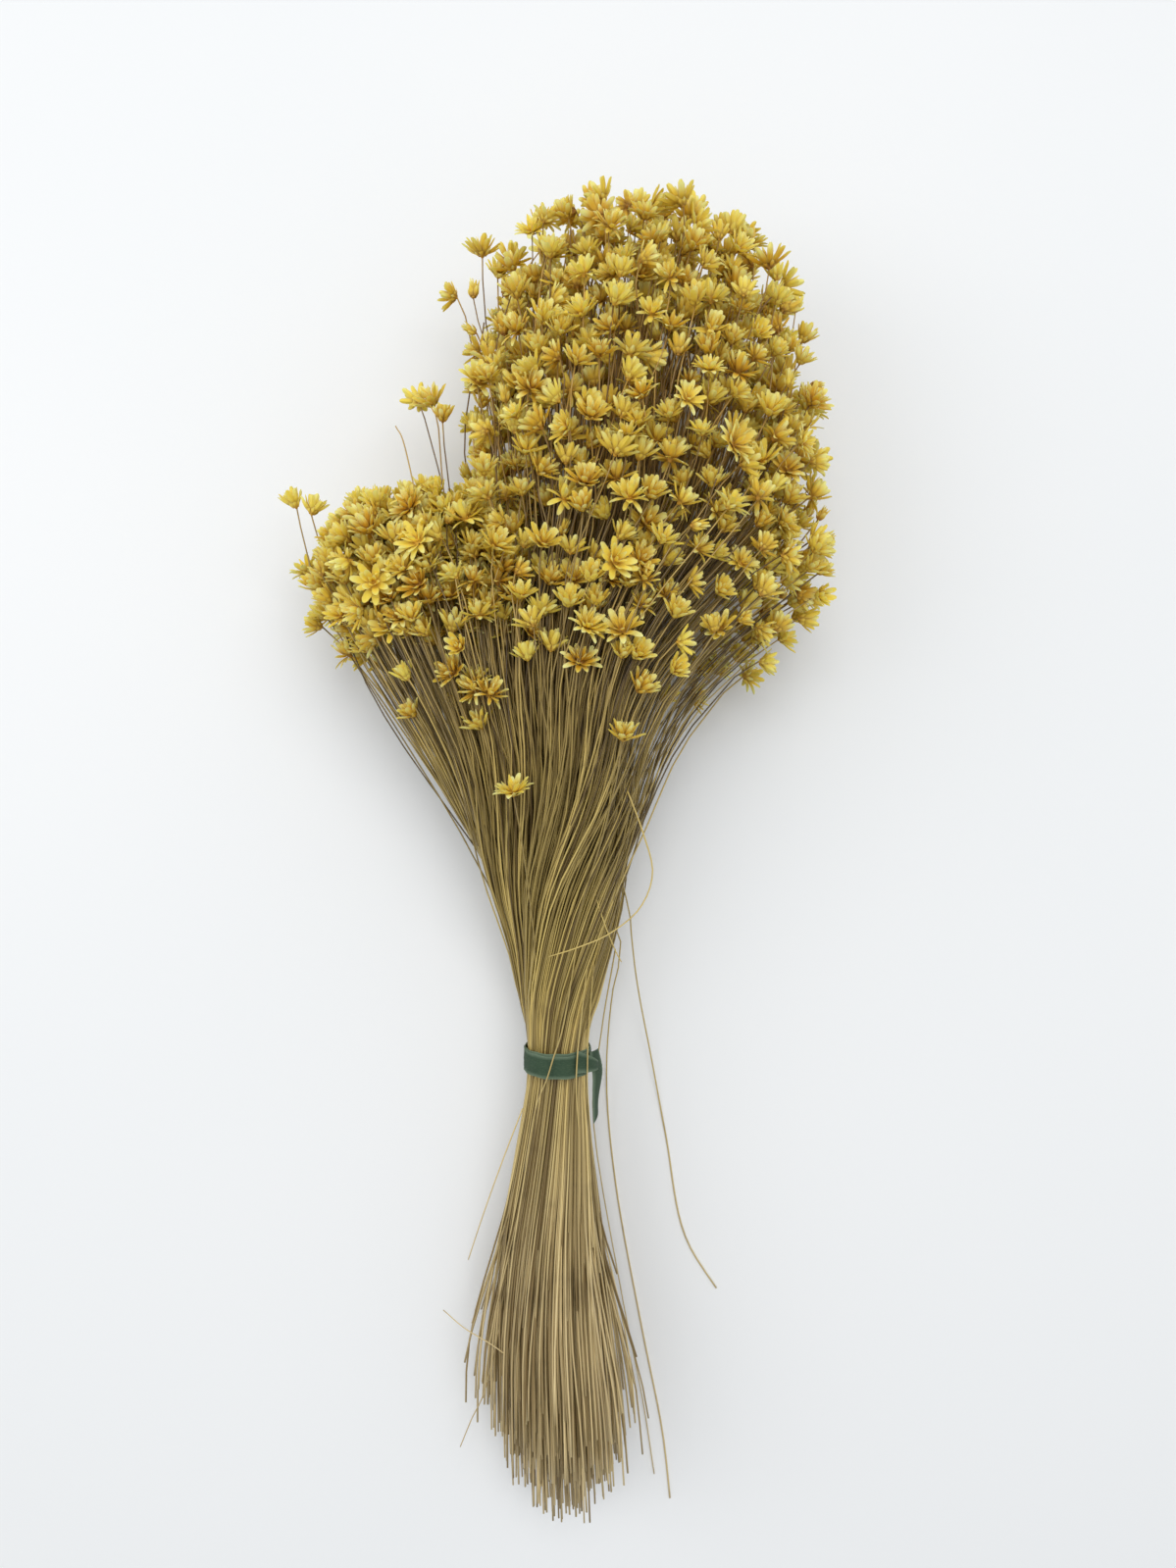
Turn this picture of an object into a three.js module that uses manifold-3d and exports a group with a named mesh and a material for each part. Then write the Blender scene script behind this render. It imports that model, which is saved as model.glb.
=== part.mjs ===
// A bunch of dried star flowers, tied with green tape and laid down on a table.
//
// Millimetres. +Y runs along the bunch from the cut ends to the flowers, +X runs across it and +Z is up.
// While the bunch is built, Y is measured from the tie. The last lines move the origin to the table, under
// the middle of the bunch.
//
// Some twelve hundred thin stems pass through the tie, each with one flower head. They are grouped in
// bundles that lie side by side in close-packed layers. Each bundle is one solid, and its heads are another.
// A bundle keeps its place among its neighbours from end to end, while the sheaf as a whole narrows at the
// tie, turns a little, and opens out to the flowers, so two bundles can't cross.
import * as THREE from "three";
import { mergeVertices } from "three/addons/utils/BufferGeometryUtils.js";
import Module from "manifold-3d";

const wasm = await Module();
wasm.setup();
const { clamp, degToRad, lerp, smoothstep } = THREE.MathUtils;

// ---- Driving dimensions ----
const SPREAD = 210; // the flowers, across, where the short side is widest
const DEPTH = 98; // the flowers there, from below to above, before the table flattens them
const PRESSED = 4; // how much of that depth the table takes
const WIDEST = 214; // from the tie to there
const FLOWERS_FROM = 168; // from the tie to the lowest heads of the outer bundles

// Each side of the bunch is a dome of flowers. top is measured from the tie, height is how much of the dome
// is rounded, aside is how far its middle is to the right of the tie, and halfX and halfZ are its reach.
const TALL = { top: 366, height: 118, aside: 34, halfX: 79, halfZ: 58 };
const SHORT = { top: 240, height: 54, aside: -50, halfX: 60, halfZ: 54 };

const NECK_WIDTH = 23; // the tied stems, across
const NECK_HEIGHT = 22; // the tied stems, from below to above
const NECK_LIFT = 30; // height of the tied stems' middle above the table
const NECK_TURN = 35; // degrees that the sheaf is turned at the tie

const CUT_LENGTH = 180; // from the tie to the longest cut ends
const CUT_UNEVEN = 34; // how much sooner the outermost stems end
const CUT_WIDTH = 53; // the sheaf at the cut ends, across
const CUT_HEIGHT = 44; // the sheaf at the cut ends, from below to above
const CUT_PRESSED = 1; // how far the table flattens the cut ends
const CUT_TURN = 64; // degrees that the sheaf is turned at the cut ends

const TAPE_WIDTH = 10;
const TAPE_THICK = 0.6; // two turns of tape
const TAPE_CLEARANCE = 0.3; // between the tape and the stems, and between one piece of tape and the next
const TAIL_LENGTH = 30; // free end of the tape
const TAIL_SLANT = 3; // the free end is cut at a slant
const TAIL_LEAN = 20; // degrees from upright
const FOLD_LENGTH = 9; // where the tape turns from round the neck to along it

const STEM_RADIUS = 0.5;
const HEAD_RADIUS = 6.5; // one flower head
const HEAD_HEIGHT = 8;
const FLOWER_GAP = 0.6; // between a bundle and the flowers that it carries

// ---- The bundles' places in the sheaf, in steps of one bundle ----
const LAYERS = [4, 5, 6, 5, 4]; // bundles in each layer, from the table up
const LAYER_STEP = Math.sqrt(3) / 2;
const TIGHT = 0.46; // a bundle's radius at the tie
const LOOSE = 0.4; // a bundle's radius where its flowers begin
const FULL = 0.475; // a group of heads at its widest
const SHORT_SIDE = -0.75; // the bundles left of this place are the short side,
const SHORT_SIDE_SLANT = 0.26; // and of more than this to the right, for each step up

const places = LAYERS.flatMap((count, layer) =>
  Array.from({ length: count }, (_, i) => ({
    across: i - (count - 1) / 2,
    up: (layer - (LAYERS.length - 1) / 2) * LAYER_STEP,
  })),
);
const MOST_ACROSS = Math.max(...places.map((p) => p.across)) + 0.5;
const MOST_UP = Math.max(...places.map((p) => p.up)) + 0.5;

// ---- The sheaf's outline along its length ----
// Each row is a share of the way from the tie to where the flowers are widest, or to the cut ends, with how
// far the sheaf has opened across and in height and how far it has risen and turned there, each from 0 at the
// tie to 1. aside is in half widths. Past the widest place the stems keep spreading, to the domes' tops.
const toFlowers = [
  { share: 0.07, across: 0.015, height: 0.02, rise: 0.04, turn: 0.2, aside: 0 },
  { share: 0.225, across: 0.09, height: 0.17, rise: 0.2, turn: 0.6, aside: 0.01 },
  { share: 0.45, across: 0.275, height: 0.47, rise: 0.46, turn: 0.9, aside: -0.03 },
  { share: 0.65, across: 0.46, height: 0.72, rise: 0.72, turn: 1, aside: -0.09 },
  { share: 0.82, across: 0.7, height: 0.88, rise: 0.9, turn: 1, aside: -0.08 },
  { share: 1, across: 1, height: 1, rise: 1, turn: 1, aside: -0.02 },
  { share: 1.3, across: 1.36, height: 1.3, rise: 1.75, turn: 1, aside: 0 },
  { share: 1.68, across: 1.78, height: 1.72, rise: 2.9, turn: 1, aside: 0 },
];
const toCutEnds = [
  { share: 1, across: 1, height: 1, rise: 1, turn: 1, aside: 0.02 },
  { share: 0.5, across: 0.76, height: 0.66, rise: 0.6, turn: 0.85, aside: -0.02 },
  { share: 0.08, across: 0.06, height: 0.06, rise: 0.06, turn: 0.25, aside: -0.005 },
];
const neck = { halfX: NECK_WIDTH / 2, halfZ: NECK_HEIGHT / 2, z: NECK_LIFT, turn: NECK_TURN };
const flowerEnd = { y: WIDEST, halfX: SPREAD / 2, halfZ: DEPTH / 2, z: DEPTH / 2 - PRESSED, turn: 0 };
const cutEnd = {
  y: -CUT_LENGTH,
  halfX: CUT_WIDTH / 2,
  halfZ: CUT_HEIGHT / 2,
  z: CUT_HEIGHT / 2 - CUT_PRESSED,
  turn: CUT_TURN,
};
const outlineRow = (end) => (row) => ({
  y: row.share * end.y,
  x: (row.aside * SPREAD) / 2,
  halfX: lerp(neck.halfX, end.halfX, row.across),
  halfZ: lerp(neck.halfZ, end.halfZ, row.height),
  z: lerp(neck.z, end.z, row.rise),
  turn: lerp(neck.turn, end.turn, row.turn),
});
const outline = [
  ...toCutEnds.map(outlineRow(cutEnd)),
  { y: 0, x: 0, ...neck },
  ...toFlowers.map(outlineRow(flowerEnd)),
];

// The outline at any y, along smooth curves through the rows above.
function outlineAt(y) {
  const row = (k) => outline[clamp(k, 0, outline.length - 1)];
  const i = clamp(outline.filter((r) => r.y <= y).length - 1, 0, outline.length - 2);
  const [before, a, b, after] = [row(i - 1), row(i), row(i + 1), row(i + 2)];
  const t = (y - a.y) / (b.y - a.y);
  const found = {};
  for (const key of ["x", "halfX", "z", "halfZ", "turn"]) {
    const slopeA = ((b[key] - before[key]) / (b.y - before.y)) * (b.y - a.y);
    const slopeB = ((after[key] - a[key]) / (after.y - a.y)) * (b.y - a.y);
    const rise = b[key] - a[key];
    const bend = 3 * rise - 2 * slopeA - slopeB;
    found[key] = a[key] + t * (slopeA + t * (bend + t * (slopeA + slopeB - 2 * rise)));
  }
  return found;
}

// The sheaf is cut into slices, and everything in it runs straight from one slice to the next.
const SLICES_BELOW = [1, 0.8, 0.6, 0.42, 0.25, 0.12, 0.04];
const SLICES_ABOVE = [0.03, 0.1, 0.2, 0.32, 0.45, 0.58, 0.7, 0.8, 0.9, 1, 1.12, 1.27, 1.44, 1.68];
const sliceHeights = [
  ...SLICES_BELOW.map((share) => -share * CUT_LENGTH),
  ...SLICES_ABOVE.map((share) => share * WIDEST),
];
const slices = sliceHeights.map((y) => {
  const s = outlineAt(y);
  const [cos, sin] = [Math.cos(degToRad(s.turn)), Math.sin(degToRad(s.turn))];
  const turned = (across, up) => [across * cos - up * sin, across * sin + up * cos];
  const reach = [0, 1].map((k) => Math.max(...places.map((p) => Math.abs(turned(p.across, p.up)[k]))) + 0.5);
  const pointOf = (across, up) => {
    const [a, u] = turned(across, up);
    return new THREE.Vector3(s.x + (a * s.halfX) / reach[0], y, s.z + (u * s.halfZ) / reach[1]);
  };
  return { y, pointOf };
});

// A place in the sheaf, in bundle steps, as a point at that y.
function pointAt(across, up, y) {
  const next = clamp(slices.filter((s) => s.y <= y).length, 1, slices.length - 1);
  const [a, b] = [slices[next - 1], slices[next]];
  return a.pointOf(across, up).lerp(b.pointOf(across, up), (y - a.y) / (b.y - a.y));
}

// The rows of a piece that runs between two y values: the slices on the way, and the two ends.
const SHORTEST_ROW = 5;
function rowsBetween(from, to) {
  const between = sliceHeights.filter((y) => y > from + SHORTEST_ROW && y < to - SHORTEST_ROW);
  return [from, ...between, to];
}

// ---- Materials ----
const heads = new THREE.MeshStandardMaterial({ color: 0xd9ad35, roughness: 0.75, metalness: 0 });
const stalks = new THREE.MeshStandardMaterial({ color: 0x9a8650, roughness: 0.6, metalness: 0 });
const tape = new THREE.MeshStandardMaterial({ color: 0x3f5a45, roughness: 0.8, metalness: 0 });

const bunch = new THREE.Group();
bunch.name = "bunch_of_dried_flowers";

function add(name, geometry, material, position = new THREE.Vector3()) {
  const mesh = new THREE.Mesh(geometry, material);
  mesh.name = name;
  mesh.position.copy(position);
  bunch.add(mesh);
}

// Flattens a geometry where it would go below the table.
function pressed(geometry) {
  const at = geometry.attributes.position;
  for (let i = 0; i < at.count; i++) at.setZ(i, Math.max(0, at.getZ(i)));
  return geometry;
}

// ---- Bundles and groups of heads ----
// A unit cylinder carried through the sheaf. rows gives [y, radius in bundle steps] for each row of it.
function carried(place, rows, sides) {
  const geometry = new THREE.CylinderGeometry(1, 1, rows.length - 1, sides, rows.length - 1);
  const at = geometry.attributes.position;
  for (let i = 0; i < at.count; i++) {
    const [y, radius] = rows[Math.round(at.getY(i) + (rows.length - 1) / 2)];
    const p = pointAt(place.across + at.getX(i) * radius, place.up + at.getZ(i) * radius, y);
    at.setXYZ(i, p.x, p.y, p.z);
  }
  return pressed(geometry);
}

// How far out a place is, from 0 in the middle of the sheaf to 1 at its edge.
const outward = (place) => Math.hypot(place.across / MOST_ACROSS, place.up / MOST_UP);

// How far from the tie the outer part of a bundle meets the surface of its dome.
const OUTER_PART = 1.13;
const MARCH = 1;
function meetsDome(place, dome) {
  const centre = dome.top - dome.height;
  const middleZ = DEPTH / 2 - PRESSED;
  const inside = (y) => {
    const p = pointAt(place.across * OUTER_PART, place.up * OUTER_PART, y);
    const [x, z] = [(p.x - dome.aside) / dome.halfX, (p.z - middleZ) / dome.halfZ];
    return Math.hypot(x, (y - centre) / dome.height, z) < 1;
  };
  let y = centre;
  while (inside(y)) y += MARCH;
  return y;
}

// Where a bundle's flowers begin and end. The inner bundles carry no heads down between the others.
const LEAST_FLOWERS = 46;
const INNER_START = 46;
function flowersOf(place) {
  const short = place.across < SHORT_SIDE + SHORT_SIDE_SLANT * place.up;
  const to = meetsDome(place, short ? SHORT : TALL);
  const from = short ? FLOWERS_FROM : FLOWERS_FROM + INNER_START * (1 - outward(place));
  return { from: Math.min(to - LEAST_FLOWERS, from), to };
}

const BUNDLE_SIDES = 7;
const HEAD_SIDES = 12;
const FOOT = 0.84; // a group of heads starts at this share of its full radius
const DOMED_FROM = 0.78; // and rounds off from this share of its height
const TIP_SHARES = [0.8, 0.91, 0.98]; // rows that round off its top
function headRadius(share) {
  return FULL * Math.min(1, FOOT + 2 * share, Math.sqrt((1 - share) / (1 - DOMED_FROM)));
}

places.forEach((place, i) => {
  const number = String(i + 1).padStart(2, "0");
  const cut = -(CUT_LENGTH - CUT_UNEVEN * outward(place) ** 2);
  const flowers = flowersOf(place);
  const top = flowers.from - FLOWER_GAP;
  const stemRows = rowsBetween(cut, top).map((y) => [y, lerp(TIGHT, LOOSE, Math.max(0, y / top))]);
  add("stem_bundle_" + number, carried(place, stemRows, BUNDLE_SIDES), stalks);
  const yOf = (share) => lerp(flowers.from, flowers.to, share);
  const [dome, ...tips] = TIP_SHARES.map(yOf);
  const shareOf = (y) => (y - flowers.from) / (flowers.to - flowers.from);
  const headRows = [...rowsBetween(flowers.from, dome), ...tips].map((y) => [y, headRadius(shareOf(y))]);
  add("flower_cluster_" + number, carried(place, headRows, HEAD_SIDES), heads);
});

// ---- Tape round the neck ----
// The band is an ellipse drawn just outside every bundle at the tie.
const middle = new THREE.Vector3(0, 0, NECK_LIFT);
const least = { halfX: 0 };
const EDGE_POINTS = 24;
for (const y of [-TAPE_WIDTH / 2, 0, TAPE_WIDTH / 2])
  for (const place of places)
    for (let k = 0; k < EDGE_POINTS; k++) {
      const angle = (k / EDGE_POINTS) * 2 * Math.PI;
      const p = pointAt(place.across + TIGHT * Math.cos(angle), place.up + TIGHT * Math.sin(angle), y);
      const flat = (p.z - middle.z) * (NECK_WIDTH / NECK_HEIGHT);
      least.halfX = Math.max(least.halfX, Math.hypot(p.x - middle.x, flat));
    }
const bandHalfX = least.halfX + TAPE_CLEARANCE;
const bandHalfZ = (least.halfX * NECK_HEIGHT) / NECK_WIDTH + TAPE_CLEARANCE;
const BAND_SIDES = 40;
const bandProfile = [
  [1, -TAPE_WIDTH / 2],
  [1 + TAPE_THICK / bandHalfX, -TAPE_WIDTH / 2],
  [1 + TAPE_THICK / bandHalfX, TAPE_WIDTH / 2],
  [1, TAPE_WIDTH / 2],
  [1, -TAPE_WIDTH / 2],
].map(([r, y]) => new THREE.Vector2(r, y));
const band = new THREE.LatheGeometry(bandProfile, BAND_SIDES);
band.scale(bandHalfX, 1, bandHalfZ);
add("tie_band", band, tape, middle);

// Flat pieces of tape are drawn as [height, y]. They lean over the band's side, with their lower edges out.
const HALF_TAPE = TAPE_WIDTH / 2;
const leanOut = HALF_TAPE * Math.sin(degToRad(TAIL_LEAN));
const bandSide = middle.x + bandHalfX + TAPE_THICK + TAPE_CLEARANCE + leanOut;
function flatTape(name, corners, x) {
  const shape = new THREE.Shape(corners.map(([z, y]) => new THREE.Vector2(-z, y)));
  const geometry = new THREE.ExtrudeGeometry(shape, { depth: TAPE_THICK, bevelEnabled: false });
  geometry.rotateY(Math.PI / 2 - degToRad(TAIL_LEAN));
  add(name, geometry, tape, new THREE.Vector3(x, 0, middle.z));
}

// The free end lies flat against the band's side and runs on towards the cut ends.
const tailCorners = [
  [-HALF_TAPE, HALF_TAPE],
  [HALF_TAPE, HALF_TAPE],
  [HALF_TAPE, HALF_TAPE - TAIL_LENGTH],
  [-HALF_TAPE, HALF_TAPE - TAIL_LENGTH + TAIL_SLANT],
];
flatTape("tie_tail", tailCorners, bandSide);

// The fold is a corner of tape over the top of the free end.
const foldCorners = [
  [-HALF_TAPE, HALF_TAPE],
  [HALF_TAPE, HALF_TAPE],
  [HALF_TAPE, HALF_TAPE - FOLD_LENGTH],
];
const foldSide = bandSide + TAPE_THICK + TAPE_CLEARANCE;
flatTape("tie_fold", foldCorners, foldSide);

// ---- Loose flowers and stems ----
// A round rod along a curve through points.
const ROD_SIDES = 6;
const ROD_STEPS = 20;
function rod(points) {
  const section = new THREE.Shape();
  section.absarc(0, 0, STEM_RADIUS, 0, 2 * Math.PI);
  const extrudePath = new THREE.CatmullRomCurve3(points, false, "centripetal");
  const options = { extrudePath, steps: ROD_STEPS, curveSegments: ROD_SIDES / 2, bevelEnabled: false };
  return pressed(new THREE.ExtrudeGeometry(section, options));
}

// A cup-shaped head standing on the origin, along +Y. The profile is in head radii and head heights.
const CUP_SIDES = 10;
const CUP_PROFILE = [
  [0, 0],
  [0.3, 0],
  [0.72, 0.28],
  [0.9, 0.6],
  [1, 1],
  [0.55, 0.8],
  [0, 0.75],
];
function cup() {
  const points = CUP_PROFILE.map(([r, h]) => new THREE.Vector2(r * HEAD_RADIUS, h * HEAD_HEIGHT));
  return new THREE.LatheGeometry(points, CUP_SIDES);
}

function solidOf(geometry) {
  const bare = geometry.clone();
  bare.deleteAttribute("normal");
  bare.deleteAttribute("uv");
  const merged = mergeVertices(bare, 1e-3);
  const vertProperties = merged.attributes.position.array;
  const triVerts = new Uint32Array(merged.index.array);
  return new wasm.Manifold(new wasm.Mesh({ numProp: 3, vertProperties, triVerts }));
}

function geometryOf(solid) {
  const mesh = solid.getMesh();
  const geometry = new THREE.BufferGeometry();
  geometry.setAttribute("position", new THREE.BufferAttribute(mesh.vertProperties, mesh.numProp));
  geometry.setIndex(new THREE.BufferAttribute(mesh.triVerts, 1));
  geometry.computeVertexNormals();
  return geometry;
}

// A flower outside the bundles. It passes through the tie at a free place on the edge of the sheaf, moves out
// to a place of its own by the height bend, and ends in a head at the height to.
function looseFlower({ edge, out, bend, to, cut }) {
  const moved = (y) => smoothstep(y, TAPE_WIDTH, bend);
  const placeAt = (y) => [lerp(edge[0], out[0], moved(y)), lerp(edge[1], out[1], moved(y))];
  const points = [...rowsBetween(cut, bend), (bend + to) / 2, to].map((y) => pointAt(...placeAt(y), y));
  const last = points.at(-1);
  const heading = last.clone().sub(points.at(-2)).normalize();
  const head = cup();
  head.applyQuaternion(new THREE.Quaternion().setFromUnitVectors(new THREE.Vector3(0, 1, 0), heading));
  // The head is set a little way down over the end of the stem.
  const seat = last.clone().addScaledVector(heading, -STEM_RADIUS);
  head.translate(seat.x, seat.y, seat.z);
  return geometryOf(solidOf(rod(points)).add(solidOf(head)));
}

// Free places at the tie are at the sheaf's side, at its corners and on its top layer.
const SIDE = [2.72, 0.66];
const CORNER = [2.24, 1.68];
const TOP = 2.3;
const looseFlowers = [
  { edge: [-SIDE[0], -SIDE[1]], out: [-3.14, -0.35], bend: 150, to: 216, cut: -140 },
  { edge: [-SIDE[0], SIDE[1]], out: [-3.22, 0.5], bend: 140, to: 176, cut: -130 },
  { edge: [SIDE[0], SIDE[1]], out: [3.02, 1.05], bend: 150, to: 200, cut: -150 },
  { edge: [CORNER[0], -CORNER[1]], out: [3.06, -0.6], bend: 150, to: 214, cut: -144 },
  { edge: [1, TOP], out: [2.1, 2.5], bend: 110, to: 140, cut: -160 },
  { edge: [-1, TOP], out: [-0.7, 2.75], bend: 90, to: 118, cut: -156 },
];
looseFlowers.forEach((flower, i) => add("loose_flower_" + (i + 1), looseFlower(flower), heads));

// Two stems that slipped half out of the tie. They come down beside the tape and lie on the table. Their
// points are [out from the tape, y, height].
const ON_TABLE = STEM_RADIUS;
const looseStems = [
  [
    [13, 62, 27],
    [16, 34, 17],
    [24, -8, 4],
    [30, -40, ON_TABLE],
    [38, -82, ON_TABLE],
    [54, -108, ON_TABLE],
  ],
  [
    [11, 50, 24],
    [6, 20, 10],
    [4, -16, 2],
    [8, -60, ON_TABLE],
    [19, -120, ON_TABLE],
    [28, -165, ON_TABLE],
    [31, -192, ON_TABLE],
  ],
];
looseStems.forEach((points, i) => {
  const path = points.map(([out, y, z]) => new THREE.Vector3(foldSide + out, y, z));
  add("loose_stem_" + (i + 1), rod(path), stalks);
});

// ---- Origin: on the table, under the middle of the bunch ----
const box = new THREE.Box3().setFromObject(bunch, true);
bunch.position.set(-(box.min.x + box.max.x) / 2, -(box.min.y + box.max.y) / 2, -box.min.z);

export default bunch;
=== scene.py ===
import math

import bmesh
import bpy
import numpy as np
from mathutils import Euler, Matrix, Vector


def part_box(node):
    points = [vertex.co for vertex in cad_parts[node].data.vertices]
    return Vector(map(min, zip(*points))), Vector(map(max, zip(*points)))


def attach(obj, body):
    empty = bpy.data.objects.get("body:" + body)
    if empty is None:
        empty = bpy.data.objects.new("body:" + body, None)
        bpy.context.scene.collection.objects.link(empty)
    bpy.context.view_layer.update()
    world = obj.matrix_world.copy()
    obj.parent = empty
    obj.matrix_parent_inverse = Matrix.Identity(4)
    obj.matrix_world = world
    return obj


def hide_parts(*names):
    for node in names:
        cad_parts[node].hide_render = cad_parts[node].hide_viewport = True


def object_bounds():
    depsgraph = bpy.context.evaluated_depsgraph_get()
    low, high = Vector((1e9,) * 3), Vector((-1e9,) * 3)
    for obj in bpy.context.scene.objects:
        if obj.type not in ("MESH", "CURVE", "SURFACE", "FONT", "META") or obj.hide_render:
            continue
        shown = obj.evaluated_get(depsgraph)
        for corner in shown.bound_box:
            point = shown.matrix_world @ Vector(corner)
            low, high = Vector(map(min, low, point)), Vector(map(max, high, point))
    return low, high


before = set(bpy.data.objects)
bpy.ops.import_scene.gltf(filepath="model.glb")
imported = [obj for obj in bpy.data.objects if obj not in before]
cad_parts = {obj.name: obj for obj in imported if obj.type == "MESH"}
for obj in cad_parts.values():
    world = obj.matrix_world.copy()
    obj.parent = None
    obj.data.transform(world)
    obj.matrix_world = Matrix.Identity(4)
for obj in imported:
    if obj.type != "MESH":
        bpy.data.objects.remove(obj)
CAD_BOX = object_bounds()

MM = 0.001
rng = np.random.default_rng(41)

# ---- Sizes of the stems ----
STEM_RADIUS = 0.34 * MM
STEM_SPACING = 0.142  # between neighbouring stems, in steps of one bundle
STEM_STEP = 12 * MM  # length of stem between two of its points
STEM_SIDES = 6
LEAST_POINTS = 6  # that a stem has
THICKNESSES = (0.84, 1.12)  # of one stem and the next, as shares of the usual one
TAPER = (1.06, 0.84)  # at the cut end and at the head
CUT_RAGGED = 34 * MM  # how much one cut end differs from the next,
CUT_BELOW = 0.3  # and the share of that which lies past the CAD bundle's end
CUT_FLARE = 0.4  # share by which the cut ends splay, at most,
FLARE_FROM = 50 * MM  # from this far below the tie on,
FLARE_LENGTH = 95 * MM  # over this length
BROKEN = (0.5, 0.26)  # share of the stems left and right that end sooner, and splay twice as far,
BROKEN_BY = 120 * MM  # by this much at most
ON_TABLE = 0.5 * MM  # the lowest that the middle of a stem lies
SWAY = 0.0154  # how far a stem sways from its place, in steps of one bundle, in the tie,
SWAY_ABOVE = 0.14  # and how much further well above it
SWAY_BELOW = 0.049  # or well below it
SWAY_LENGTH = 140 * MM  # how far from the tie that is
SWAY_RATES = (14, 44)  # how quickly it sways along its length, in radians a metre
RIPPLE = 0.16  # a finer sway, as a share of the other one,
RIPPLE_RATE = 2.1  # and how many times quicker it is
HEADLESS = 0.018  # share of the stems that have lost their head
TWIST = math.radians(58)  # how far the stems turn round each other from the tie up to their heads,
TWIST_UP = 130 * MM  # over this height
SHEAF_REACH = (3.06, 2.29)  # half the sheaf, across and in height, in steps of one bundle
SPLAY_FROM = 64 * MM  # how far above the tie the stems begin to splay out to their heads
SPLAY_CURVE = 1.8  # 1 is a straight splay, and more is one that comes later
WAIST = 145 * MM  # height above the tie at which the right side of the fan is drawn in the most,
WAIST_LENGTH = 45 * MM
WAIST_SHARE = 0.16  # and by how much of its distance from the middle
WAIST_INSIDE = 30 * MM  # stems nearer the middle than this are drawn in less

# ---- How the tie holds them, and how the heads are spread ----
TIE_CLEARANCE = 1.05 * MM  # between the outside of the band and the middles of the stems
HELD_LENGTH = 6 * MM  # how far from the tie's middle the stems are held,
HELD_FADE = 16 * MM  # and over which length it lets go
HEAD_SPACING_TRIES = 11  # more of them space the heads more evenly
DOME_POWER = 2.5  # 2 is a round dome, and more is a squarer one
RAGGED_DOME = (0.88, 1.04)  # how far out of its dome's reach the surface is for one head and the next
LOW_HEADS = 0.006  # how close together the heads below the mass are, as a share of those in it
LOW_HEADS_DROP = 30 * MM  # and how far below it they go
FADE = 40 * MM  # height over which the mass of heads begins
UNDERNEATH = 0.34  # how close together the heads on the table's side are, as a share of those above
FAN_REACH = (3.3, 4.1, 2.6)  # where heads may stand: left, right and in height, in steps of one bundle
HEAD_SIZES = (0.8, 1.1)
HEAD_TONES = (0.5, 0.32)  # usual tone of a head, and how much it differs from one to the next
HEAD_BEND = 4.05 * MM  # how far behind its head a stem turns to face as it does
SHEAF_EDGE = (3.0, 2.2)  # a head so far from the middle, across and in height, in steps of one bundle,
LEANS_OUT = 0.45  # leans out of the bunch by this much, and the others by less
LEANS_ASTRAY = 0.5  # how much any head leans astray
MATCHING_ROUNDS = 450  # more of them make the stems cross less

SHORT_SIDE = -0.75  # the bundles left of this place are the short side,
SHORT_SIDE_SLANT = 0.26  # and of more than this to the right, for each step up

# ---- The stems' places, from the CAD bundles ----
LAYERS = [4, 5, 6, 5, 4]  # bundles in each layer, from the table up
LAYER_STEP = math.sqrt(3) / 2
PLACES = np.array(
    [
        (i - (count - 1) / 2, (layer - (len(LAYERS) - 1) / 2) * LAYER_STEP)
        for layer, count in enumerate(LAYERS)
        for i in range(count)
    ]
)
NUMBERS = [f"{i + 1:02d}" for i in range(len(PLACES))]


def corners(node):
    """The different corners of a CAD node."""
    found = np.array([v.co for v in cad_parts[node].data.vertices])
    return np.unique(np.round(found, 6), axis=0)


LEAST_CORNERS = 7  # that a CAD node has in a slice of the sheaf
LEAST_NODES = 5  # that share such a slice
SAME = 1e-4  # metres, the most by which two equal heights differ


def read_slices():
    """Where the sheaf's slices lie along it, and how each turns a place into x and z."""
    rows = {}
    for place, number in zip(PLACES, NUMBERS):
        for node in ("stem_bundle_" + number, "flower_cluster_" + number):
            points = corners(node)
            for y in np.unique(np.round(points[:, 1], 4)):
                ring = points[abs(points[:, 1] - y) < SAME]
                pressed = ring[:, 2].min() < SAME
                if len(ring) >= LEAST_CORNERS and not pressed:
                    rows.setdefault(y, []).append((*place, 1, *ring[:, [0, 2]].mean(0)))
    shared = sorted(y for y in rows if len(rows[y]) >= LEAST_NODES)
    maps = []
    for y in shared:
        table = np.array(rows[y])
        maps.append(np.linalg.lstsq(table[:, :3], table[:, 3:], rcond=None)[0].ravel())
    return np.array(shared), np.array(maps)


SLICES, SLICE_MAPS = read_slices()
TABLE_STEP = 2 * MM
PAST_ENDS = 30 * MM  # how far past the CAD's ends the table goes
TABLE_Y = np.arange(CAD_BOX[0].y - PAST_ENDS, CAD_BOX[1].y + PAST_ENDS, TABLE_STEP)


def smooth_maps():
    """The slices' maps at every height in TABLE_Y: smooth curves through them, and straight on past them."""
    slopes = np.gradient(SLICE_MAPS, SLICES, axis=0)
    found = []
    for y in TABLE_Y:
        i = int(np.clip(np.searchsorted(SLICES, y) - 1, 0, len(SLICES) - 2))
        span = SLICES[i + 1] - SLICES[i]
        t = (y - SLICES[i]) / span
        a, b = SLICE_MAPS[i], SLICE_MAPS[i + 1]
        if t < 0:
            found.append(a + t * span * slopes[i])
            continue
        if t > 1:
            found.append(b + (t - 1) * span * slopes[i + 1])
            continue
        rise, slope_a, slope_b = b - a, slopes[i] * span, slopes[i + 1] * span
        square = 3 * rise - 2 * slope_a - slope_b
        cube = slope_a + slope_b - 2 * rise
        found.append(a + t * (slope_a + t * (square + t * cube)))
    return np.array(found)


MAPS = smooth_maps()


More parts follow.
